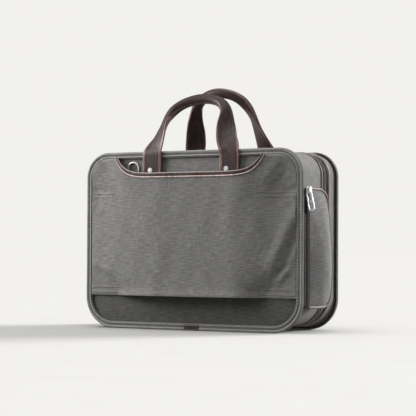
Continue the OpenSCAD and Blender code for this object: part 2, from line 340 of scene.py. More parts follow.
def tube(name, path, radius, material, sides, up):
    """A round cord along a path, where up is roughly outwards."""
    along = unit(np.gradient(path, axis=0))
    across = unit(np.cross(along, np.array(up, float)))
    out = np.cross(across, along)
    angle = np.arange(sides)[:, None] * TURN / sides
    ring = across[:, None] * np.cos(angle) + out[:, None] * np.sin(angle)
    radius = np.broadcast_to(radius, len(path))[:, None, None]
    return grid(name, path[:, None] + radius * ring, material)


def joined(name, parts, material):
    """One mesh from many small ones given as (verts, faces)."""
    verts, faces, start = [], [], 0
    for v, f in parts:
        verts.append(v)
        faces.append(np.asarray(f) + start)
        start += len(v)
    verts, faces = np.vstack(verts), np.vstack(faces)
    uvs = verts[faces.ravel()][:, [0, 2]] + verts[faces.ravel()][:, [1, 1]] * 0.7
    return new_object(name, verts, faces, uvs, [material])


def capsule(start, end, out, radius, rise):
    """Verts and faces of one stitch: a short thread that dives in at both ends."""
    sides = 6
    t = np.array([0.0, 0.16, 0.5, 0.84, 1.0])
    size = np.array([0.35, 0.9, 1.0, 0.9, 0.35]) * radius
    height = np.array([-0.9, 0.3, 0.9, 0.3, -0.9]) * rise
    across = np.cross(unit(end - start), out)
    angle = np.arange(sides) * TURN / sides
    centre = start + np.outer(t, end - start) + np.outer(height, out)
    ring = np.outer(np.cos(angle), across) + np.outer(np.sin(angle), out)
    verts = (centre[:, None] + size[:, None, None] * ring).reshape(-1, 3)
    i, j = cells(len(t) - 1, sides)
    k = (j + 1) % sides
    faces = np.stack([i * sides + j, i * sides + k, (i + 1) * sides + k, (i + 1) * sides + j], 1).tolist()
    for ring_at in (0, len(t) - 1):
        for j in range(0, sides - 2, 2):
            faces.append([ring_at * sides + q for q in (0, j + 1, j + 2, (j + 3) % sides)])
    return verts, faces


def stitches(name, lines, material, length, gap, radius, rise):
    """Rows of stitches. Each line is a path of points and the outward direction at each."""
    parts = []
    for path, out in lines:
        count = max(1, int(distances(path)[-1] / (length + gap)))
        both = even(np.hstack([path, np.broadcast_to(out, path.shape)]), 4 * count + 1)
        for k in range(count):
            a, b = both[4 * k], both[4 * k + 3]
            parts.append(capsule(a[:3], b[:3], unit(a[3:]), radius, rise))
    return joined(name, parts, material)


def settle(obj, body, slot, *replaced):
    """Gives a piece its body and hides the CAD nodes that it stands in for. slot is not used."""
    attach(obj, body)
    if replaced:
        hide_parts(*replaced)
    return obj


# ---------------------------------------------------------------- materials


def rgb(colour):
    """A display colour, as three values of 0 to 255, in the linear form that a shader takes."""
    c = np.array(colour) / 255
    linear = np.where(c <= 0.04045, c / 12.92, ((c + 0.055) / 1.055) ** 2.4)
    return (*linear.tolist(), 1.0)


def add_node(tree, kind, inputs=None, **settings):
    """A shader node whose inputs are values, or other nodes' outputs to link."""
    made = tree.nodes.new(kind)
    for key, value in settings.items():
        setattr(made, key, value)
    for key, value in (inputs or {}).items():
        if isinstance(value, bpy.types.NodeSocket):
            tree.links.new(value, made.inputs[key])
        else:
            made.inputs[key].default_value = value
    return made


class Finish:
    """A Principled material, built up by short calls. Its coordinates are millimetres."""

    def __init__(self, name, roughness=0.5, metallic=0.0, specular=0.5, sheen=0.0, local=False):
        self.material = bpy.data.materials.new(name)
        self.material.use_nodes = True
        self.tree = self.material.node_tree
        self.surface = self.tree.nodes["Principled BSDF"]
        self.set({"Roughness": roughness, "Metallic": metallic, "Specular IOR Level": specular,
                  "Sheen Weight": sheen})
        if local:
            source = self.node("ShaderNodeTexCoord").outputs["Object"]
            self.at = self.scaled(source, (1 / MM, 1 / MM, 1 / MM))
        else:
            self.at = self.node("ShaderNodeUVMap", uv_map="metric").outputs["UV"]

    def set(self, values):
        for key, value in values.items():
            self.surface.inputs[key].default_value = value

    def node(self, kind, inputs=None, **settings):
        return add_node(self.tree, kind, inputs, **settings)

    def scaled(self, vector, by):
        return self.node("ShaderNodeVectorMath", {0: vector, 1: by}, operation="MULTIPLY").outputs[0]

    def noise(self, size, detail=3.0, roughness=0.55):
        """Noise with features of that size in millimetres, which may differ by axis."""
        size = size if isinstance(size, tuple) else (size, size, size)
        vector = self.scaled(self.at, tuple(1 / s for s in size))
        values = {"Vector": vector, "Scale": 1.0, "Detail": detail, "Roughness": roughness}
        return self.node("ShaderNodeTexNoise", values).outputs["Fac"]

    def pebbles(self, size):
        """Distance to the nearest of scattered points, as in leather's grain."""
        vector = self.scaled(self.at, (1 / size, 1 / size, 1 / size))
        return self.node("ShaderNodeTexVoronoi", {"Vector": vector, "Scale": 1.0}).outputs["Distance"]

    def maths(self, operation, a, b=0.0):
        return self.node("ShaderNodeMath", {0: a, 1: b}, operation=operation).outputs[0]

    def blended(self, *parts):
        """The sum of values, each times its weight."""
        (first, weight), *others = parts
        total = self.maths("MULTIPLY", first, weight)
        for value, weight in others:
            total = self.maths("ADD", total, self.maths("MULTIPLY", value, weight))
        return total

    def waves(self, axis, pitch):
        """A sine along one axis, once every pitch millimetres."""
        split = self.node("ShaderNodeSeparateXYZ", {0: self.at}).outputs[axis]
        return self.maths("SINE", self.maths("MULTIPLY", split, TURN / pitch))

    def ramp(self, value, *stops):
        """A colour from a value, where each stop is its place and its display colour."""
        made = self.node("ShaderNodeValToRGB", {0: value})
        elements = made.color_ramp.elements
        while len(elements) < len(stops):
            elements.new(0.5)
        for element, (place, colour) in zip(elements, stops):
            element.position = place
            element.color = rgb(colour)
        return made.outputs["Color"]

    def mix(self, amount, a, b):
        return self.node("ShaderNodeMix", {0: amount, 6: a, 7: b}, data_type="RGBA").outputs[2]

    def colour(self, value):
        self.tree.links.new(value, self.surface.inputs["Base Color"])

    def rough(self, value, low, high):
        made = self.node("ShaderNodeMapRange", {0: value, 3: low, 4: high}).outputs[0]
        self.tree.links.new(made, self.surface.inputs["Roughness"])

    def bump(self, height, depth, strength):
        """Adds a bump of that depth in millimetres to those already there."""
        values = {"Height": height, "Distance": depth * MM, "Strength": strength}
        earlier = self.surface.inputs["Normal"].links
        if earlier:
            values["Normal"] = earlier[0].from_socket
        made = self.node("ShaderNodeBump", values)
        self.tree.links.new(made.outputs[0], self.surface.inputs["Normal"])


def woven(name, dark, mid, light, pitch=0.9, streak=1.0, depth=0.22):
    """Canvas of uneven yarn: light and dark slubs both ways, and the weave itself."""
    f = Finish(name, roughness=0.85, specular=0.25, sheen=0.1)
    f.set({"Sheen Roughness": 0.5})
    weft = f.noise((16, 1.5, 1.5), 2.0, 0.5)
    warp = f.noise((1.7, 26, 1.7), 2.0, 0.5)
    cloud = f.noise(60, 2.0, 0.5)
    speck = f.noise(0.7, 1.0, 0.6)
    tone = f.blended((weft, 0.62 * streak), (warp, 0.2 * streak), (cloud, 0.1), (speck, 0.12))
    middle = 0.5 * (0.82 * streak + 0.22)
    f.colour(f.ramp(tone, (middle - 0.13, dark), (middle, mid), (middle + 0.13, light)))
    both_ways = f.maths("MULTIPLY", f.waves(0, 2 * pitch), f.waves(1, 2 * pitch))
    f.bump(f.maths("ADD", both_ways, f.maths("MULTIPLY", f.waves(1, pitch), 0.35)), depth, 0.7)
    f.bump(weft, depth * 1.4, 0.6)
    f.rough(speck, 0.74, 0.95)
    return f.material


def hide(name, dark, mid, worn, roughness=(0.34, 0.55), grain=0.6, local=False, coat=0.0):
    """Smooth leather: fine pebbles, long creases, and lighter rubbed patches."""
    f = Finish(name, roughness=0.45, specular=0.3, local=local)
    f.set({"Coat Weight": coat, "Coat Roughness": 0.2})
    pebble = f.pebbles(grain)
    crease = f.noise((2.2, 24, 2.2), 4.0, 0.6)
    patch = f.noise((6, 18, 6), 4.0, 0.6)
    base = f.ramp(f.blended((patch, 0.6), (crease, 0.4)), (0.36, dark), (0.52, mid), (0.68, worn))
    f.colour(f.mix(f.maths("MULTIPLY", pebble, 0.25), base, rgb(dark)))
    f.bump(pebble, 0.12, 0.45)
    f.bump(crease, 0.5, 0.35)
    f.rough(f.noise(3.5, 4.0), *roughness)
    return f.material


def plated(name, tarnished, bright, roughness):
    """Plated zinc with fine scratches and a little tarnish."""
    f = Finish(name, metallic=0.85, local=True)
    scratch = f.noise((0.35, 0.35, 5.0), 3.0, 0.6)
    f.colour(f.ramp(f.noise(4.0), (0.3, tarnished), (0.62, bright)))
    f.bump(scratch, 0.02, 0.35)
    f.rough(scratch, *roughness)
    return f.material


def thread(name, dark, light):
    """Twisted sewing thread."""
    f = Finish(name, roughness=0.7, specular=0.3, sheen=0.2)
    twist = f.noise(0.5, 2.0)
    f.colour(f.ramp(twist, (0.35, dark), (0.65, light)))
    f.bump(twist, 0.1, 0.6)
    return f.material


def ribbed(name, dark, light, pitch):
    """Woven tape with ribs along its length."""
    f = Finish(name, roughness=0.8, specular=0.25, sheen=0.1)
    ribs = f.waves(1, pitch)
    fluff = f.noise(1.4, 3.0, 0.6)
    f.colour(f.ramp(f.maths("ADD", f.maths("MULTIPLY", ribs, 0.14), fluff), (0.3, dark), (0.7, light)))
    f.bump(ribs, 0.14, 0.7)
    f.bump(fluff, 0.1, 0.5)
    return f.material


canvas = woven("canvas", (102, 101, 99), (118, 117, 115), (135, 134, 131))
# The same canvas, darker: painted shade for the lower part of the trolley-side wall.
canvas_painted_shade = woven("canvas_painted_shade", (66, 65, 63), (80, 79, 77), (96, 95, 92))
# The binding's cloth on its ridges, then darker copies of it painted as shade: on its turned edge, its
# sunk seam and the hollow between the ridges.
binding_cloths = [woven(name, dark, mid, light, pitch=0.7, streak=0.5) for name, dark, mid, light in (
    ("binding_cloth", (112, 111, 109), (136, 135, 132), (162, 161, 158)),
    ("binding_under_painted_shade", (32, 32, 32), (50, 50, 50), (70, 70, 70)),
    ("binding_seam_painted_shade", (30, 30, 30), (42, 42, 42), (58, 58, 57)),
    ("binding_hollow_painted_shade", (82, 81, 79), (99, 98, 96), (118, 117, 115)))]
lining = woven("lining", (52, 52, 54), (74, 74, 76), (98, 98, 100), pitch=0.5, streak=0.2, depth=0.1)
leather = hide("leather", (26, 13, 12), (50, 30, 28), (84, 58, 53), (0.42, 0.6), grain=0.9, coat=0.08)
leather_edge = hide("leather_edge", (82, 58, 54), (118, 91, 85), (152, 125, 118), grain=0.7, coat=0.1)
leather_pale = hide("leather_pale", (156, 132, 128), (204, 184, 180), (232, 218, 214), grain=0.7)
leather_dark = hide("leather_dark", (28, 16, 15), (50, 30, 29), (76, 50, 47), (0.3, 0.5), grain=0.8)
leather_local = hide("leather_local", (28, 15, 13), (54, 32, 28), (84, 56, 50), grain=0.9, local=True)
piping_brown = hide("piping_brown", (98, 82, 78), (134, 117, 111), (164, 148, 142))
piping_tan = hide("piping_tan", (126, 112, 106), (166, 151, 144), (196, 183, 176))
cord_brown = hide("cord_brown", (88, 76, 71), (120, 106, 100), (150, 136, 129))
board = hide("board", (24, 24, 26), (36, 36, 38), (50, 50, 52), grain=1.4, local=True)
zip_tape = ribbed("zip_tape", (24, 24, 26), (46, 46, 48), 1.1)
zip_coil = ribbed("zip_coil", (86, 86, 90), (140, 140, 146), 0.6)
steel = plated("steel", (204.7, 204.7, 206.5), (226, 226, 228), (0.28, 0.46))
thread_pale = thread("thread_pale", (150, 148, 143), (206, 204, 198))
thread_brown = thread("thread_brown", (66, 48, 45), (122, 98, 92))


# ---------------------------------------------------------------- bindings and panels

# The tape's section as (inset, y): a sunk seam, an inner ridge, a hollow, and the rolled outer edge.
SEAM_INSET = 11.2
BINDING = [(12.0, 2.3), (11.6, 1.95), (SEAM_INSET, 1.8), (10.7, 1.75), (10.45, 1.2), (10.35, 0.6),
           (10.0, -0.15), (9.4, -0.45), (8.6, -0.15), (7.5, 0.45), (6.4, 0.75), (5.3, 0.6), (4.0, 0.05),
           (2.8, -0.3), (1.7, -0.1), (0.85, 0.5), (0.2, 1.45), (0.0, 2.5), (0.15, 3.2), (1.2, 3.6),
           (1.2, 4.15), (0.2, 4.6), (0.05, 5.5), (0.35, 6.5), (1.1, 7.25), (2.3, 7.55), (3.6, 7.6),
           (5.0, 7.55), (5.3, 6.0), (5.6, 3.4), (7.5, 3.0), (9.6, 2.9), (11.7, 2.8)]
BINDING_STEP = 2.5


def binding(side):
    """The tape bound over the edge of a panel, with its row of stitches."""
    section = curve(BINDING, 64, closed=True)
    points = around(section, 0, BINDING_STEP)
    _, _, nx, nz = outline(0, BINDING_STEP).T[:, :, None]
    along = np.arange(len(points))[:, None] * BINDING_STEP
    over = np.arange(len(section)) * 3.0
    swell = wobble(along, 0, 38, 11) * 0.16 + wobble(along, over, 13, 12) * 0.07
    points += stacked(0.6 * swell * nx, 0.5 * swell, 0.6 * swell * nz)
    inset, y = section.T
    # The turned edge, the sunk seam and the hollow take the darker copies: painted shade.
    kind = np.where((y > 7.0) & (inset < 5.2), 1, 0)
    kind[inset > 10.4] = 2
    kind[(inset > 4.9) & (inset < 7.9) & (y < 2)] = 3
    obj = grid(side + "_binding", on_side(side, points), binding_cloths, ring=True,
               pick=lambda i, j: kind[j], sharp=60)
    settle(obj, side + "_case", "binding", side + "_rim")
    row = on_side(side, around([(SEAM_INSET, 1.65)], 0, 2.0)[:, 0])
    row = np.vstack([row, row[:1]])
    out = facing(side, np.array([0.0, -1.0, 0.0]))
    sewn = stitches(side + "_binding_stitches", [(row, out)], thread_pale,
                    length=2.6, gap=2.2, radius=0.6, rise=0.55)
    settle(sewn, side + "_case", "binding")


def panel(side, painted_shade_below):
    """The padded wall inside a binding, with darker cloth up to a height as painted shade."""
    z = heights(PROUD + 0.2, HEIGHT - PROUD - 0.2)

    def face(x, z):
        edge = np.minimum(half_width(z, PROUD) - np.abs(x), np.minimum(z - PROUD, HEIGHT - PROUD - z))
        puff = smooth((edge - 3) / 26)
        return PANEL_Y - 1.6 * puff + 0.25 * wobble(x, z, 70, 5) * puff

    outer = filled(PROUD, 0, z, 90, face)
    inner = outer.copy()
    inner[..., 1] = RIM_DEPTH
    obj = shell(side + "_wall", on_side(side, outer), on_side(side, inner), [canvas, canvas_painted_shade],
                uv=outer[..., [0, 2]], pick=lambda i, j: z[i] < painted_shade_below)
    settle(obj, side + "_case", "twill", side + "_panel")


def inner_wall(side):
    """The lining over the stiffener, quilted lightly."""
    z = heights(INSIDE + LIFT + 0.1, HEIGHT - INSIDE - 0.1, 70)
    square = 46

    def face(x, z):
        quilt = np.abs(np.sin(x / square) * np.sin((z - 20) / square)) ** 0.35
        return RIM_DEPTH + 0.6 + 0.55 * quilt

    inner = filled(INSIDE, LIFT, z, 90, face)
    outer = inner.copy()
    outer[..., 1] = RIM_DEPTH + 0.05
    obj = shell(side + "_lining", on_side(side, inner), on_side(side, outer), lining,
                uv=inner[..., [0, 2]])
    settle(obj, side + "_case", "lining", side + "_stiffener")


binding("rear")
binding("front")
# Below 160 mm the trolley-side wall is painted darker, as shade.
panel("rear", 160)
panel("front", 0)
inner_wall("rear")
inner_wall("front")


# ---------------------------------------------------------------- side walls, pipings, zip


def wall(side, y0, y1):
    """The fabric wall round the sides, pulled in a little at its two seams."""
    cols = 15
    outer_y = np.linspace(y0, y1, cols)
    puff = np.sin(np.linspace(0, 1, cols) * np.pi) ** 0.6
    section = [(PROUD + 0.35 - 0.5 * p, y) for p, y in zip(puff, outer_y)]
    section += [(7.5, y) for y in outer_y[::-1]]
    points = around(section)
    _, _, nx, nz = outline().T[:, :, None]
    along = np.arange(len(points))[:, None] * STEP
    soft = wobble(along, outer_y, 60, 21) * 0.5 + wobble(along, outer_y * 0.3, 17, 22) * 0.22
    # The right wall is held flat by its pocket. The others are freer, and the top one arches.
    free = 1 - smooth(nx * 3 - 1.6)
    soft = soft * puff * (0.25 + 0.75 * free) + 0.7 * puff * free * smooth(nz)
    points[:, :cols] += stacked(soft * nx, 0, soft * nz)
    # The yarn's long slubs run round the wall, so its map is turned to suit.
    obj = grid(side + "_side_wall", points, canvas, ring=True, swap=True)
    settle(obj, side + "_case", "twill", side + "_gusset")


def piping(side, y0, y1, material, radius):
    """A round leather cord sewn in beside the zip tape."""
    angle = np.linspace(0, TURN, 15)[:-1]
    section = np.stack([PROUD - 0.15 - radius * np.cos(angle), (y0 + y1) / 2 + radius * np.sin(angle)], 1)
    obj = grid(side + "_zip_piping", around(section), material, ring=True)
    settle(obj, side + "_case", "leather", side + "_piping")


def tape(side, y0, y1):
    """One half of the zip: woven tape that dips beside the piping and rises to the chain."""
    y = np.linspace(y0, y1, 11)
    rise = 0.5 * np.sin(np.pi * np.linspace(0, 1, 11)) ** 2
    section = [(5.75 + r, v) for r, v in zip(rise, y)] + [(7.4, v) for v in y[::-1]]
    obj = grid(side + "_tape", around(section), zip_tape, ring=True)
    settle(obj, side + "_case", "zip_tape", side + "_zip_tape")


TOOTH_PITCH = 2.1


def chain(name, path, out, towards, body):
    """Small coil teeth along a path; out is outwards and towards points at the other half."""
    both = np.hstack([path, np.broadcast_to(out, path.shape)])
    both = even(both, int(distances(path)[-1] / TOOTH_PITCH))
    towards = np.array(towards)
    parts = []
    for centre, normal, way in zip(both[:, :3], both[:, 3:], unit(np.gradient(both[:, :3], axis=0))):
        start = centre - towards * 2.2
        end = centre + towards * 0.55 + way * 0.25
        parts.append(capsule(start, end, unit(normal), 0.62, 0.25))
    settle(joined(name, parts, zip_coil), body, "zip_tape")


def main_chain():
    """The coil teeth of the main zip, from one bottom corner over the top to the other."""
    inset = 5.2
    path = outline(LIFT, 2.0)
    x, z, nx, nz = path[(np.abs(path[:, 0]) > 130) | (path[:, 1] > 60)].T
    out = stacked(nx, 0, nz)
    for side, sign in (("rear", -1), ("front", 1)):
        row = stacked(x - nx * inset, ZIP_Y + sign * 0.75, z - nz * inset)
        chain(side + "_chain", row, out, (0, -sign, 0), side + "_case")


# The front half mirrors the rear half about the zip's middle, but its piping is thicker.
FRONT_TAPE_Y1 = 2 * ZIP_Y - TAPE_Y0
wall("rear", RIM_DEPTH, WALL_Y1)
wall("front", FRONT_TAPE_Y1 + 3, DEPTH - RIM_DEPTH)
piping("rear", WALL_Y1, TAPE_Y0, piping_brown, 2.0)
piping("front", FRONT_TAPE_Y1, FRONT_TAPE_Y1 + 3, piping_tan, 2.6)
tape("rear", TAPE_Y0, TAPE_Y1)
tape("front", ZIP_Y + 0.6, FRONT_TAPE_Y1)
main_chain()


# ---------------------------------------------------------------- trolley sleeve

SLEEVE_HALF = 204.8
SEWN_X = HALF_W - RIM_W
# Where the trolley's tubes push the sleeve out, and how far it stands out between them.
TUBES_X = (-55, 84)
STANDS_OUT = 15.9
# Each fold: its two ends (x, z), its width, and its height, which is negative where it stands out.
FOLDS = [((203, 212), (152, 100), 11, -3.4), ((207, 184), (184, 118), 9, 2.0),
         ((190, 108), (159, 77), 6, -2.2), ((204, 146), (184, 112), 6, -1.6),
         ((188, 122), (164, 92), 5, 1.2), ((170, 290), (141, 251), 7, -0.9),
         ((188, 280), (158, 236), 8, 1.0), ((200, 240), (177, 231), 6, 1.9),
         ((-198, 239), (-160, 240), 5, 1.1), ((-197, 114), (-152, 96), 6, -1.8),
         ((-200, 215), (-172, 202), 7, -1.4), ((-204, 262), (-176, 296), 14, -2.4),
         ((-128, 306), (-122, 214), 28, -2.0), ((120, 232), (150, 180), 11, 0.5),
         ((-30, 110), (40, 84), 14, 0.5)]
# Each row of sewing: its two ends in x, and its height.
SEAMS = [(-197, -147, 231.2), (-197, -147, 225.2), (127, 194, 229.4), (127, 194, 222.8),
         (-198, -137, 68.6), (-198, -136, 60.2), (137, 199, 68.6), (137, 199, 60.2)]
# The trim's section from its upper edge (0) to its lower (1): place across it, and how proud it is.
TRIM = np.array([(0, 0.4), (0.03, 1.1), (0.1, 1.6), (0.18, 1.5), (0.24, 1.1), (0.27, 0.75), (0.32, 0.8),
                 (0.42, 0.9), (0.5, 0.95), (0.58, 0.9), (0.68, 0.8), (0.73, 0.75), (0.77, 1.1),
                 (0.84, 1.5), (0.92, 1.6), (0.98, 1.1), (1.0, 0.4)])


def scoop(share, drop):
    """Height of a line drop below the sleeve's scooped edge, at a share of its half width."""
    rise = HEIGHT - RIM_W - SCOOP_Z + drop
    return SCOOP_Z - drop + rise * np.minimum(np.abs(share), 1) ** 8.5


def ridge(x, z, start, end, width, height):
    """A soft fold along a line; negative height stands out towards the trolley."""
    a, b = np.array(start, float), np.array(end, float)
    d = b - a
    t = ((x - a[0]) * d[0] + (z - a[1]) * d[1]) / (d @ d)
    off = ((x - a[0]) * d[1] - (z - a[1]) * d[0]) / np.sqrt(d @ d)
    return height * smooth((t + 0.15) / 0.4) * smooth((1.15 - t) / 0.4) * bell(off, width)


def sleeve_face(x, z):
    """Y of the sleeve's outer face: it stands out over two tubes, and is sewn down at four places."""
    left = x < 0
    corner = np.where(left, 147.0, 127.0)
    reach = SEWN_X - 0.9 * bell(z - 60, 34) * (SEWN_X - 137)
    reach = reach - 0.35 * bell(z - 228, 30) * (SEWN_X - corner)
    start = np.where(left, 64.0, 92.0)
    t = np.clip((np.abs(x) - start) / (reach - start), 0, 1)
    # The left side, towards the light, is tauter, so it falls away later and more steeply.
    round_part, fall = np.where(left, 0.3, 0.5), np.where(left, 1.8, 1.4)
    ease = round_part * (0.5 + 0.5 * np.cos(np.pi * t)) + (1 - round_part) * (1 - t ** fall)
    flare = 2.2 * bell(z - SLEEVE_Z, 9) * smooth((150 - np.abs(x)) / 30)
    y = 0.2 - STANDS_OUT * ease - flare
    for tube_x in TUBES_X:
        y = y - 0.9 * bell(x - tube_x, 17)
    for fold in FOLDS:
        y = y + ridge(x, z, *fold)
    inside = smooth((200 - np.abs(x)) / 25)
    y = y + 0.35 * wobble(x, z, 58, 3) * inside + 0.12 * wobble(x, z, 16, 4) * inside
    y = y + 0.22 * bell(SEWN_X - np.abs(x), 7) * np.sin(z / 1.9 + wobble(x * 0, z, 40, 8))
    return np.minimum(y, 1.6)


def seam_dip(x, z):
    """How far the sewn lines pull the cloth in."""
    dip = 0
    for x0, x1, z0 in SEAMS:
        inside = smooth((x - x0 + 3) / 6) * smooth((x1 + 3 - x) / 6)
        dip = dip + inside * (0.9 * bell(z - z0, 1.1) - 0.8 * bell(z - z0 - 2.2, 1.3))
    return dip


def sleeve():
    """The band of cloth that slips over a trolley's two tubes."""
    x = SLEEVE_HALF * crowded(260, 0.8)
    # Its sides and top corners end under the binding.
    tuck = TOP_R - RIM_W + 1
    over = np.clip((np.abs(x) - (HALF_W - TOP_R)) / tuck, 0, 1)
    corner = HEIGHT - TOP_R + tuck * np.sqrt(1 - over ** 2)
    drop = 3.6
    scooped = np.where(np.abs(x) < 148, scoop(x / (SCOOP_HALF + 1.2 * drop), drop), HEIGHT)
    z = SLEEVE_Z + (np.minimum(scooped, corner) - SLEEVE_Z) * np.linspace(0, 1, 150)[:, None]
    x = np.broadcast_to(x, z.shape)
    y = sleeve_face(x, z) + seam_dip(x, z) + 0.5 * bell(z - SLEEVE_Z, 1.6)
    turn = np.hypot(np.maximum(np.abs(x) - HALF_W + TOP_R, 0), np.maximum(z - HEIGHT + TOP_R, 0))
    inset = np.minimum(np.minimum(HALF_W - np.abs(x), HEIGHT - z), TOP_R - turn)
    rim = smooth((RIM_W + 2.6 - inset) / 1.6)
    y = y * (1 - rim) + rim * np.maximum(y, 2.7)
    outer = stacked(x, y, z)
    inner = stacked(x, np.maximum(np.minimum(y + 1.7, 4.2), y + 0.5), z)
    obj = shell("sleeve_cloth", outer, inner, canvas, uv=outer[..., [0, 2]], sharp=50)
    return settle(obj, "rear_case", "twill", "trolley_sleeve")


def sleeve_seams():
    """The short double rows that sew the sleeve down."""
    lines = []
    for x0, x1, z in SEAMS:
        x = np.linspace(x0, x1, 40)
        y = sleeve_face(x, z) + seam_dip(x, z) - 0.15
        lines.append((stacked(x, y, z), (0, -1, 0)))
    sewn = stitches("sleeve_seams", lines, thread_pale, length=2.6, gap=1.8, radius=0.6, rise=0.7)
    return settle(sewn, "rear_case", "twill")


def trim():
    """The leather edge of the scoop: two light raised edges and a dark middle, stitched."""
    share = np.sin(np.linspace(-1, 1, 150) * np.pi / 2)[:, None]
    across, proud = TRIM.T
    x = SCOOP_HALF * share * (1 - across) + (SCOOP_HALF + 0.6 * TRIM_W) * share * across
    z = scoop(share, 0) * (1 - across) + scoop(share, TRIM_W) * across
    y = sleeve_face(x, z)
    outer = stacked(x, y - proud, z)
    obj = shell("sleeve_edge", outer, stacked(x, y + 1.2, z), [leather_dark, leather_pale, piping_tan],
                uv=metric(outer)[..., ::-1], pick=lambda i, j: np.where(j < 4, 2, j > 10), sharp=60)
    settle(obj, "rear_case", "leather", "sleeve_trim")
    sewn = stitches("sleeve_edge_stitches", [(outer[2:-2, 8], (0, -1, 0))], thread_brown,
                    length=2.6, gap=1.4, radius=0.28, rise=0.26)
    return obj, settle(sewn, "rear_case", "leather")


sleeve_cloth = sleeve()
seam_rows = sleeve_seams()
sleeve_edge, edge_stitches = trim()


# ---------------------------------------------------------------- handles


def leg(x):
    """The flat end of a strap, sewn to the panel below the fold."""
    return [(x, h, 37, 3.2, 0, 0) for h in (-74, -50, -26)]


# Each point: x, distance above the fold, width, thickness, how round, and how far the face is turned.
REAR_HANDLE = [*leg(-75), (-75, -10, 37, 3.2, 0, -0.03), (-74.5, 0, 36.5, 3.2, 0, -0.08),
               (-72.5, 12, 36, 3.3, 0.02, -0.25), (-70, 25, 34.5, 3.8, 0.06, -0.45),
               (-68, 40, 31, 5.2, 0.15, -0.6), (-65, 55, 25, 8.5, 0.35, -0.7),
               (-61, 69, 19.5, 13, 0.7, -0.6), (-53.5, 82, 17.6, 16.6, 0.95, -0.4),
               (-41, 92.5, 17.4, 17.2, 1, -0.2), (-26, 99, 17.4, 17.4, 1, -0.1),
               (-9, 102.6, 17.4, 17.4, 1, 0), (9, 102, 17.4, 17.4, 1, 0.1), (25, 98, 17.4, 17.2, 1, 0.2),
               (38, 90.5, 17.6, 16.4, 0.95, 0.4), (47.5, 79, 19.5, 13, 0.7, 0.6),
               (52.5, 65, 25, 8.5, 0.35, 0.7), (55.5, 51, 31, 5.2, 0.15, 0.6),
               (59.5, 36, 34.5, 3.8, 0.06, 0.45), (64.5, 20, 36, 3.3, 0.02, 0.25),
               (70, 8, 36.5, 3.2, 0, 0.1), (73.5, 0, 37, 3.2, 0, 0.05), (75, -10, 37, 3.2, 0, 0),
               *leg(75)[::-1]]
FRONT_HANDLE = [*leg(-73), (-73, -10, 37, 3.2, 0, -0.05), (-72.5, 0, 37, 3.2, 0, -0.1),
                (-70, 12, 37, 3.3, 0.02, -0.22), (-66, 28, 36, 3.6, 0.05, -0.42),
                (-63, 44, 34, 4.4, 0.1, -0.55), (-60.5, 60, 29, 6.2, 0.2, -0.65),
                (-56, 76, 23, 9.5, 0.45, -0.65), (-49, 92, 18.5, 14, 0.8, -0.5),
                (-38, 103, 17.6, 16.8, 0.97, -0.3), (-24, 110.5, 17.4, 17.4, 1, -0.15),
                (-7, 114.2, 17.4, 17.4, 1, 0), (10, 112.6, 17.4, 17.4, 1, 0.1),
                (26, 107.5, 17.4, 17.2, 1, 0.25), (40, 98, 17.6, 16, 0.93, 0.45),
                (50.5, 84, 20, 12, 0.65, 0.65), (57, 68, 26, 7.8, 0.3, 0.75),
                (60.5, 52, 32, 5, 0.13, 0.72), (64, 36, 35.5, 3.8, 0.06, 0.6),
                (68, 20, 36.5, 3.4, 0.02, 0.42), (71, 8, 37, 3.2, 0, 0.2), (72.5, 0, 37, 3.2, 0, 0.1),
                (73, -10, 37, 3.2, 0, 0), *leg(73)[::-1]]


def handle(side, lean, leg_points):
    """A leather handle: two straps that roll into a round grip, leaning out by some degrees."""
    count, cols = 190, 40
    x, h, width, thick, rolled, yaw = curve(leg_points, count).T
    tilt = np.radians(lean) * smooth((h + 9) / 12)
    between = (tilt[1:] + tilt[:-1]) / 2
    y = FOLD_Y + totals(np.diff(h) * np.sin(between))
    z = FOLD_Z + h[0] + totals(np.diff(h) * np.cos(between))
    centre = stacked(x, y, z)
    # The strap's face looks out of the case, and turns with yaw about the upright.
    face = stacked(np.sin(yaw), -np.cos(yaw) * np.cos(tilt), np.cos(yaw) * np.sin(tilt))
    along = unit(np.gradient(centre, axis=0))
    across = unit(np.cross(along, face))
    out = np.cross(across, along)
    # The section goes from a flat strap with softened edges to a round roll.
    angle = np.arange(cols) * TURN / cols
    c, s = np.cos(angle), np.sin(angle)
    power = (2 / (7 - 5 * rolled))[:, None]
    over = width[:, None] / 2 * np.sign(c) * np.abs(c) ** power
    rise = thick[:, None] / 2 * np.sign(s) * np.abs(s) ** power
    points = centre[:, None] + over[..., None] * across[:, None] + rise[..., None] * out[:, None]
    # The turned edges of the flat straps wear lighter.
    from_edge = np.minimum(np.arange(cols) % 20, 20 - np.arange(cols) % 20)
    obj = grid(side + "_handle_leather", on_side(side, points), [leather, leather_edge],
               pick=lambda i, j: from_edge[j] <= np.maximum(1, 7 - 9 * rolled[i]), sharp=60)
    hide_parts(side + "_handle_legs", side + "_handle_grip", side + "_handle_tab_left",
                side + "_handle_tab_right")
    lines = []
    for offset in (0.32, -0.32):
        row = centre + across * (width * offset)[:, None] + out * (thick / 2)[:, None]
        for half in (np.arange(count) < count / 2, np.arange(count) >= count / 2):
            flat = half & (rolled < 0.5)
            lines.append((on_side(side, row[flat]), facing(side, out[flat])))
    sewn = stitches(side + "_handle_stitches", lines, thread_brown,
                    length=2.8, gap=1.4, radius=0.3, rise=0.3)
    for piece in (obj, sewn):
        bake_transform(piece)


handle("rear", 27.9, REAR_HANDLE)
handle("front", 21.7, FRONT_HANDLE)


# ---------------------------------------------------------------- side pocket

# How far the pocket's face stands out from the wall at each height.
POCKET_Z = [43, 49, 60, 75, 98, 130, 154, 180, 205, 222, 231, 238]
POCKET_DEPTH = [17.5, 21.5, 25.5, 28.6, 31.2, 30.4, 28.4, 24.8, 20.2, 15.8, 13, 10.8]
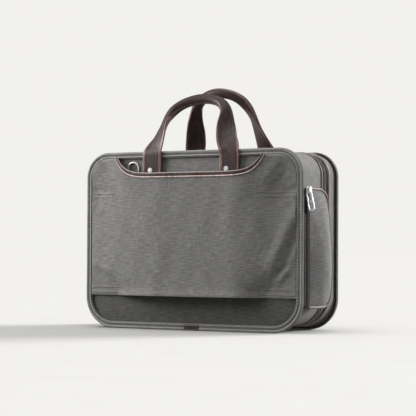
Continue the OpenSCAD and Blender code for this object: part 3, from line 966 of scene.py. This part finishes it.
# Above this height, near the slider, the cloth strip beside the side zip takes the dark tape's material:
# painted shade.
SLIDER_SHADE_Z = 197


def drawn(edge, x, shares):
    """Copies of a column of points, each drawn towards x by its share."""
    copies = np.repeat(edge, len(shares), 1)
    copies[..., 0] += (x - copies[..., 0]) * shares
    return copies


def pocket():
    """A swelling pocket on the right side wall, zipped down its flank and piped round its face."""
    base, flank = SIDE_X + 0.3, 9.5
    _, y0, z0 = POCKET_LOW
    _, y1, z1 = POCKET_HIGH
    # In the photo the pocket's front seam lies this far short of the CAD solid's.
    y1 -= 3
    z = heights(z0, z1, 110)
    front_y = y1 - corners(z, z0, z1, 22.0, 22.0)
    y = y0 + 0.4 + (front_y[:, None] - y0 - 0.4) * np.linspace(0, 1, 46)
    z = np.broadcast_to(z[:, None], y.shape)
    g = (y - y0) / (y1 - y0)
    swell = np.sin(np.clip(g / 0.8, 0, 1) * np.pi / 2) * (1 - 0.4 * np.clip((g - 0.4) / 0.6, 0, 1) ** 1.6)
    x = base + flank + (np.interp(z, POCKET_Z, POCKET_DEPTH) - flank) * swell
    edge = np.minimum(z - z0, z1 - z)
    x = x - 1.4 * (1 - smooth(edge / 10)) - 0.8 * (1 - smooth((y - y0) / 3))
    face = stacked(x + 0.3 * wobble(y, z, 30, 31) * smooth(edge / 12), y, z)
    # The same rows go on round the front seam to the wall, and back along the flank.
    shares = np.linspace(0, 1, 9)[1:]
    rear_side = drawn(face[:, :1], base + 7, shares[::-1])
    rear_side[..., 1] -= 0.25
    whole = np.concatenate([rear_side, face, drawn(face[:, -1:], base, shares)], 1)
    middle_z = (z0 + z1) / 2
    inner = stacked(np.maximum(base + 0.2, whole[..., 0] - 1.8), np.clip(whole[..., 1], y0 + 1.9, y1 - 2),
                    middle_z + (whole[..., 2] - middle_z) * 0.985)
    uv = np.stack(np.broadcast_arrays(distances(whole[55]), whole[..., 2]), 2)
    obj = shell("side_pocket_cloth", whole, inner, canvas, uv=uv, sharp=55)
    settle(obj, "side_pocket", "twill", "side_pocket_shell")
    # The top and bottom walls, between the face's edge and the case's side.
    depth = np.linspace(0, 1, 8)
    for name, row, up in (("side_pocket_top", -1, 1), ("side_pocket_bottom", 0, -1)):
        strip = drawn(whole[row, 6:-6][:, None], base + 0.1, depth).swapaxes(0, 1)
        strip = strip + stacked(0, 0, up * 0.8 * np.sin(np.pi * depth))[:, None]
        settle(shell(name, strip, strip - [0, 0, up * 1.6], canvas), "side_pocket", "twill")
    # Leather cord along the top and bottom, and a plain seam down the front.
    turn = 26
    for name, border in (("top", np.vstack([face[-1, 1:-1], face[-turn:, -1][::-1]])),
                         ("bottom", np.vstack([face[0, 1:-1], face[:turn, -1]]))):
        path = even(border, 90) + np.array([0.3, 0, 0])
        radius = 2.2 - 1.9 * smooth((np.linspace(0, 1, 90) - 0.82) / 0.18)
        cord = tube("side_pocket_cord_" + name, path, radius, cord_brown, 12, up=(1, 0, 0))
        settle(cord, "side_pocket", "leather", *(["side_pocket_piping"] if name == "top" else []))
    path = even(face[8:-8, -1], 90) + np.array([0.2, 0, 0])
    settle(tube("side_pocket_seam", path, 0.9, canvas, 8, up=(1, 0, 0)), "side_pocket", "twill")


def flank_zip():
    """The strip beside the pocket's zip: wall cloth, a thin cord, the tape and the two chains."""
    (_, y, low), (_, _, high) = box_mm("side_zip_tape")
    z = np.linspace(low, high, 120)
    cloth_section = [(SIDE_X, 1.4), (SIDE_X, 0.2), (206, -0.3), (207.6, -0.3), (208.4, 0.3), (208.4, 1.4)]
    tape_section = [(208.4, 1.4), (208.4, 0.7), (210, 0.5), (213.4, 0.2), (213.4, 1.4)]
    for name, material, slot, section, node in (
            ("side_zip_cloth", canvas, "twill", cloth_section, []),
            ("side_zip_woven_tape", zip_tape, "zip_tape", tape_section, ["side_zip_tape"])):
        px, py = np.array(section).T
        # Near the slider the cloth strip takes the tape's dark material, as painted shade.
        strip = grid(name, stacked(px, y + py, z[:, None]), [material, zip_tape],
                     pick=lambda i, j: z[i] > SLIDER_SHADE_Z)
        settle(strip, "rear_case", slot, *node)
    line = stacked(208.9, y + 0.2, z[z < SLIDER_SHADE_Z])
    settle(tube("side_zip_cord", line, 1.15, piping_tan, 10, up=(0, -1, 0)), "rear_case", "leather")
    for name, x, sign, body in (("case", 213.0, 1, "rear_case"), ("pocket", 215.0, -1, "side_pocket")):
        chain("side_chain_" + name, stacked(x, y + 0.56, z[:-4]), (0, -1, 0), (sign, 0, 0), body)


pocket()
flank_zip()


# ---------------------------------------------------------------- front pocket

FRONT_ZIP_Z = 205
WELT = np.array([(-1.9, -0.4), (-1.7, 0.7), (-0.8, 1.2), (0.8, 1.2), (1.7, 0.7), (1.9, -0.4)])


def front_pocket():
    """A zipped pocket that swells from the front panel, with two leather welts beside its zip."""
    _, y0, z0 = FRONT_POCKET_LOW
    half, y1, z1 = FRONT_POCKET_HIGH
    z = heights(z0, z1, 100)
    reach = half - corners(z, z0, z1, 34.0, 14.0)
    x = reach[:, None] * crowded(120, 0.94)
    z = np.broadcast_to(z[:, None], x.shape)
    edge = np.minimum(reach[:, None] - np.abs(x), np.minimum(z - z0, z1 - z))
    rise = smooth(edge / 13) ** 0.6
    belly = 1.5 * bell(z - 95, 60) * np.cos(np.clip(x / half, -1, 1) * np.pi / 2)
    y = y0 + (y1 - y0) * rise + belly * rise + 0.35 * wobble(x, z, 48, 41) * rise
    y = y - 1.3 * bell(z - FRONT_ZIP_Z, 3.2) * smooth((158 - np.abs(x)) / 4)
    outer = stacked(x, y, z)
    inner = stacked(x, np.minimum(y - 0.6, np.maximum(y0 + 0.1, y - 1.8)), z)
    obj = shell("front_pocket_cloth", outer, inner, canvas, uv=outer[..., [0, 2]])
    settle(obj, "front_case", "twill", "front_pocket")
    lines = []
    x = np.linspace(-157, 157, 60)
    for z, node in ((FRONT_ZIP_Z - 4.5, []), (FRONT_ZIP_Z + 4.5, ["front_pocket_welt"])):
        points = stacked(x[:, None], y1 + WELT[:, 1], z + WELT[:, 0])
        welt = grid(f"front_pocket_lip_{int(z)}", points, leather)
        settle(welt, "front_case", "leather", *node)
        lines.append((stacked(x, y1 + 1.15, z), (0, 1, 0)))
    sewn = stitches("front_pocket_stitches", lines, thread_brown,
                    length=3.0, gap=1.3, radius=0.34, rise=0.3)
    settle(sewn, "front_case", "leather")
    x = np.linspace(-155, 155, 150)
    for name, sign in (("upper", 1), ("lower", -1)):
        row = stacked(x, y1 - 0.9, FRONT_ZIP_Z + sign * 0.75)
        chain("front_chain_" + name, row, (0, 1, 0), (0, 0, -sign), "front_case")


front_pocket()


# ---------------------------------------------------------------- metal


def window(half, low, high, corner):
    """A rectangle with cut corners."""
    return [(corner - half, low), (half - corner, low), (half, low + corner), (half, high - corner),
            (half - corner, high), (corner - half, high), (-half, high - corner), (-half, low + corner)]


def pull(name, node, to_world, body):
    """A cast zip pull with rounded edges, two windows and an eye."""
    length, half, eye_z = 38.0, 5.5, -2.8
    top = np.radians(np.linspace(200, -20, 17))
    border = [(3.7 * np.cos(a), eye_z + 3.7 * np.sin(a)) for a in top]
    border += [(half, -9), (half, 2.6 - length), (half - 0.8, 0.8 - length), (half - 2.6, -length)]
    border += [(-px, pz) for px, pz in border[:-5:-1]]
    eye = [(1.9 * np.cos(a), eye_z + 1.9 * np.sin(a)) for a in np.linspace(0, TURN, 17)[:-1]]
    data = bpy.data.curves.new(name, "CURVE")
    data.dimensions = "2D"
    data.fill_mode = "BOTH"
    data.extrude = 0.45
    data.bevel_depth = 0.35
    data.bevel_resolution = 2
    data.offset = -0.35
    for loop in (border, eye, window(2.8, -22, -9, 0.7), window(3.7, 2.2 - length, -23.8, 1.2)):
        spline = data.splines.new("POLY")
        spline.points.add(len(loop) - 1)
        for point, (px, pz) in zip(spline.points, loop):
            point.co = (px, pz, 0, 1)
        spline.use_cyclic_u = True
    source = in_scene(name + "_outline", data)
    bpy.context.view_layer.update()
    mesh = bpy.data.meshes.new_from_object(source)
    bpy.data.objects.remove(source)
    # The outline's plane is X-Z of the pull, and its normal is the pull's Y.
    turn = Matrix(((1, 0, 0, 0), (0, 0, -1, 0), (0, 1, 0, 0), (0, 0, 0, 1)))
    mesh.transform(Matrix.Scale(MM, 4) @ to_world @ turn)
    mesh.materials.clear()
    mesh.materials.append(steel)
    settle(shown(name, mesh, 35), body, "steel", node)


def at(x, y, z):
    return Matrix.Translation((x, y, z))


def turned(degrees, axis):
    return Matrix.Rotation(np.radians(degrees), 4, axis)


def repaint(material, *names):
    """Gives CAD nodes that are shown as they are a material."""
    for name in names:
        nodes[name].data.materials.clear()
        nodes[name].data.materials.append(material)


# A pull hangs out in front of its slider, by its eye.
HANG = at(0, -3.4, 3.3)
place = at(214, POCKET_LOW[1], 235.5)
pull("side_zip_pull_steel", "side_pull", place @ HANG @ turned(-13, "Y"), "side_zip_pull")
for side, sign in (("left", -1), ("right", 1)):
    place = at(sign * 15, ZIP_Y, HEIGHT - 5.6) @ Matrix.Diagonal((sign, 1, 1, 1))
    place = place @ turned(90, "Z") @ turned(-90, "X")
    pull(f"main_pull_{side}_steel", f"main_pull_{side}", place @ HANG, f"main_zip_pull_{side}")
place = at(138, FRONT_POCKET_HIGH[1], FRONT_ZIP_Z) @ turned(90, "Y") @ turned(180, "Z")
pull("front_pull_steel", "front_pull", place @ HANG, "front_zip_pull")

for node in ("d_ring_left", "d_ring_right", "rear_rivet_left", "rear_rivet_right", "front_rivet_left",
             "front_rivet_right", "side_slider", "main_slider_left", "main_slider_right", "front_slider"):
    repaint(steel, node)
repaint(leather_local, "d_ring_tab_left", "d_ring_tab_right")
repaint(board, "base_board")


# ---------------------------------------------------------------- the inside, label and bottom fold


def upright_sheet(name, node, body, y0, y1, top, puff):
    """A pocket or pad that stands inside the case."""
    low = box_mm(node)[0][2]
    rows = np.linspace(low, top, 60)

    def half_thick(x, z):
        edge = np.minimum(half_width(z, INSIDE, LIFT) - np.abs(x), np.minimum(z - low, top - z))
        full = smooth(edge / 14)
        return (y1 - y0) / 2 * (0.45 + 0.55 * full) * puff + 0.125 * np.abs(np.sin(x / 24)) * full

    middle = (y0 + y1) / 2
    near = filled(INSIDE + 0.2, LIFT, rows, 90, lambda x, z: middle - half_thick(x, z))
    far = filled(INSIDE + 0.2, LIFT, rows, 90, lambda x, z: middle + half_thick(x, z))
    obj = shell(name, near, far, lining, uv=near[..., [0, 2]])
    return settle(obj, body, "lining", node)


laptop = upright_sheet("laptop_cushion", "laptop_pad", "rear_case", 26, 30, 250, 1.0)
tablet = upright_sheet("tablet_sheet", "tablet_pocket", "rear_case", 47, 49, 200, 0.7)
organizer = upright_sheet("organizer_sheet", "organizer_pocket", "front_case", 131, 132.6, 170, 0.7)


def label():
    """A small blank leather tab sewn on the bottom binding."""
    low, high = box_mm("label_tab")
    u, v = np.meshgrid(np.linspace(0, 1, 24), np.linspace(0, 1, 12))
    x = low[0] + (high[0] - low[0]) * u
    z = low[2] + (high[2] - low[2]) * v
    bulge = (np.sin(np.pi * u) * np.sin(np.pi * v)) ** 0.25
    outer = stacked(x, high[1] - 0.5 - 0.7 * bulge, z)
    settle(shell("blank_label", outer, stacked(x, high[1] + 0.05, z), leather), "rear_case", "leather",
           "label_tab")
    x0, x1, z0, z1 = low[0] + 1.6, high[0] - 1.6, low[2] + 1.4, high[2] - 1.4
    rim = stacked([x0, x1, x1, x0, x0], high[1] - 1.15, [z0, z0, z1, z1, z0])
    lines = [(rim[k:k + 2], (0, -1, 0)) for k in range(4)]
    sewn = stitches("blank_label_stitches", lines, thread_pale,
                    length=1.7, gap=0.8, radius=0.24, rise=0.3)
    settle(sewn, "rear_case", "leather")


def bottom_fold():
    """The strip of cloth that joins the two halves under the zip's foot."""
    half, z = 12, 9.2
    x, y = np.meshgrid(np.linspace(-150, 150, 60), np.linspace(ZIP_Y - half, ZIP_Y + half, 21))
    outer = stacked(x, y, z - 0.9 * np.cos((y - ZIP_Y) / half * np.pi / 2))
    obj = shell("bottom_fold_cloth", outer, outer + np.array([0, 0, 0.9]), canvas)
    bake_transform(obj)


label()
bottom_fold()


# ---------------------------------------------------------------- camera, light, floor


def stage():
    """A wide pale floor, which doesn't brighten the object from below."""
    mesh = bpy.data.meshes.new("floor")
    bm = bmesh.new()
    bmesh.ops.create_circle(bm, cap_ends=True, segments=96, radius=40)
    bm.to_mesh(mesh)
    bm.free()
    floor = in_scene("floor", mesh)
    f = Finish("floor_paint", roughness=0.9, specular=0.1, local=True)
    f.colour(f.ramp(f.noise(90), (0.2, (209, 208, 205)), (0.8, (213, 212, 209))))
    mesh.materials.append(f.material)
    floor.visible_diffuse = False


def aimed(name, data, towards):
    """A lamp that shines from the direction towards."""
    obj = in_scene(name, data)
    obj.rotation_euler = Vector(towards).to_track_quat("Z", "Y").to_euler()
    return obj


def sun(name, towards, strength, softness):
    """Even soft light from one direction, as from a wide studio panel; softness is in degrees."""
    data = bpy.data.lights.new(name, "SUN")
    data.energy = strength
    data.angle = np.radians(softness)
    aimed(name, data, towards)


def window_light(name, place, aim, size, power):
    """A square panel near the object. It doesn't light the floor, which stays evenly pale."""
    data = bpy.data.lights.new(name, "AREA")
    data.energy = power
    data.size = size
    obj = aimed(name, data, Vector(place) - Vector(aim))
    obj.location = place
    unlit = bpy.data.collections.new(name + "_unlit")
    unlit.objects.link(bpy.data.objects["floor"])
    obj.light_linking.receiver_collection = unlit
    unlit.collection_objects[0].light_linking.link_state = "EXCLUDE"


def studio(below, above):
    """Pale surroundings, which light the object from above more than from below."""
    world = bpy.data.worlds.new("studio")
    world.use_nodes = True
    tree = world.node_tree
    tree.nodes.clear()
    direction = add_node(tree, "ShaderNodeTexCoord").outputs["Generated"]
    height = add_node(tree, "ShaderNodeSeparateXYZ", {0: direction}).outputs[2]
    strength = add_node(tree, "ShaderNodeMapRange", {0: height, 1: -1.0, 2: 1.0, 3: below, 4: above})
    lit = {"Color": (1, 1, 1, 1), "Strength": strength.outputs[0]}
    soft = add_node(tree, "ShaderNodeBackground", lit)
    seen = add_node(tree, "ShaderNodeBackground", {"Color": rgb((242, 241, 237))})
    to_camera = add_node(tree, "ShaderNodeLightPath").outputs["Is Camera Ray"]
    both = add_node(tree, "ShaderNodeMixShader", {0: to_camera, 1: soft.outputs[0], 2: seen.outputs[0]})
    add_node(tree, "ShaderNodeOutputWorld", {"Surface": both.outputs[0]})
    bpy.context.scene.world = world


def camera():
    """The photograph's view, fitted to the corners of the case: a long lens, low and nearly level."""
    heading, pitch, roll = 28.592, 1.572, 0.278
    data = bpy.data.cameras.new("camera")
    data.lens = 128.48
    data.sensor_width = 36
    data.clip_end = 200
    obj = in_scene("camera", data)
    place = turned(heading, "Z") @ at(0.02986, -2.52002, 0.13862)
    obj.matrix_world = place @ turned(90 + pitch, "X") @ turned(roll, "Z")
    bpy.context.scene.camera = obj


stage()
camera()
studio(below=0.12, above=0.5)
bpy.context.scene.view_settings.view_transform = "Standard"
window_light("key", place=(-1.16, -0.5, 0.74), aim=(0, 0, 0.15), size=0.7, power=27)
sun("side", (0.6, 0.75, 0.32), strength=4.7, softness=30)
sun("top", (-0.1, -0.15, 1.0), strength=1.5, softness=50)
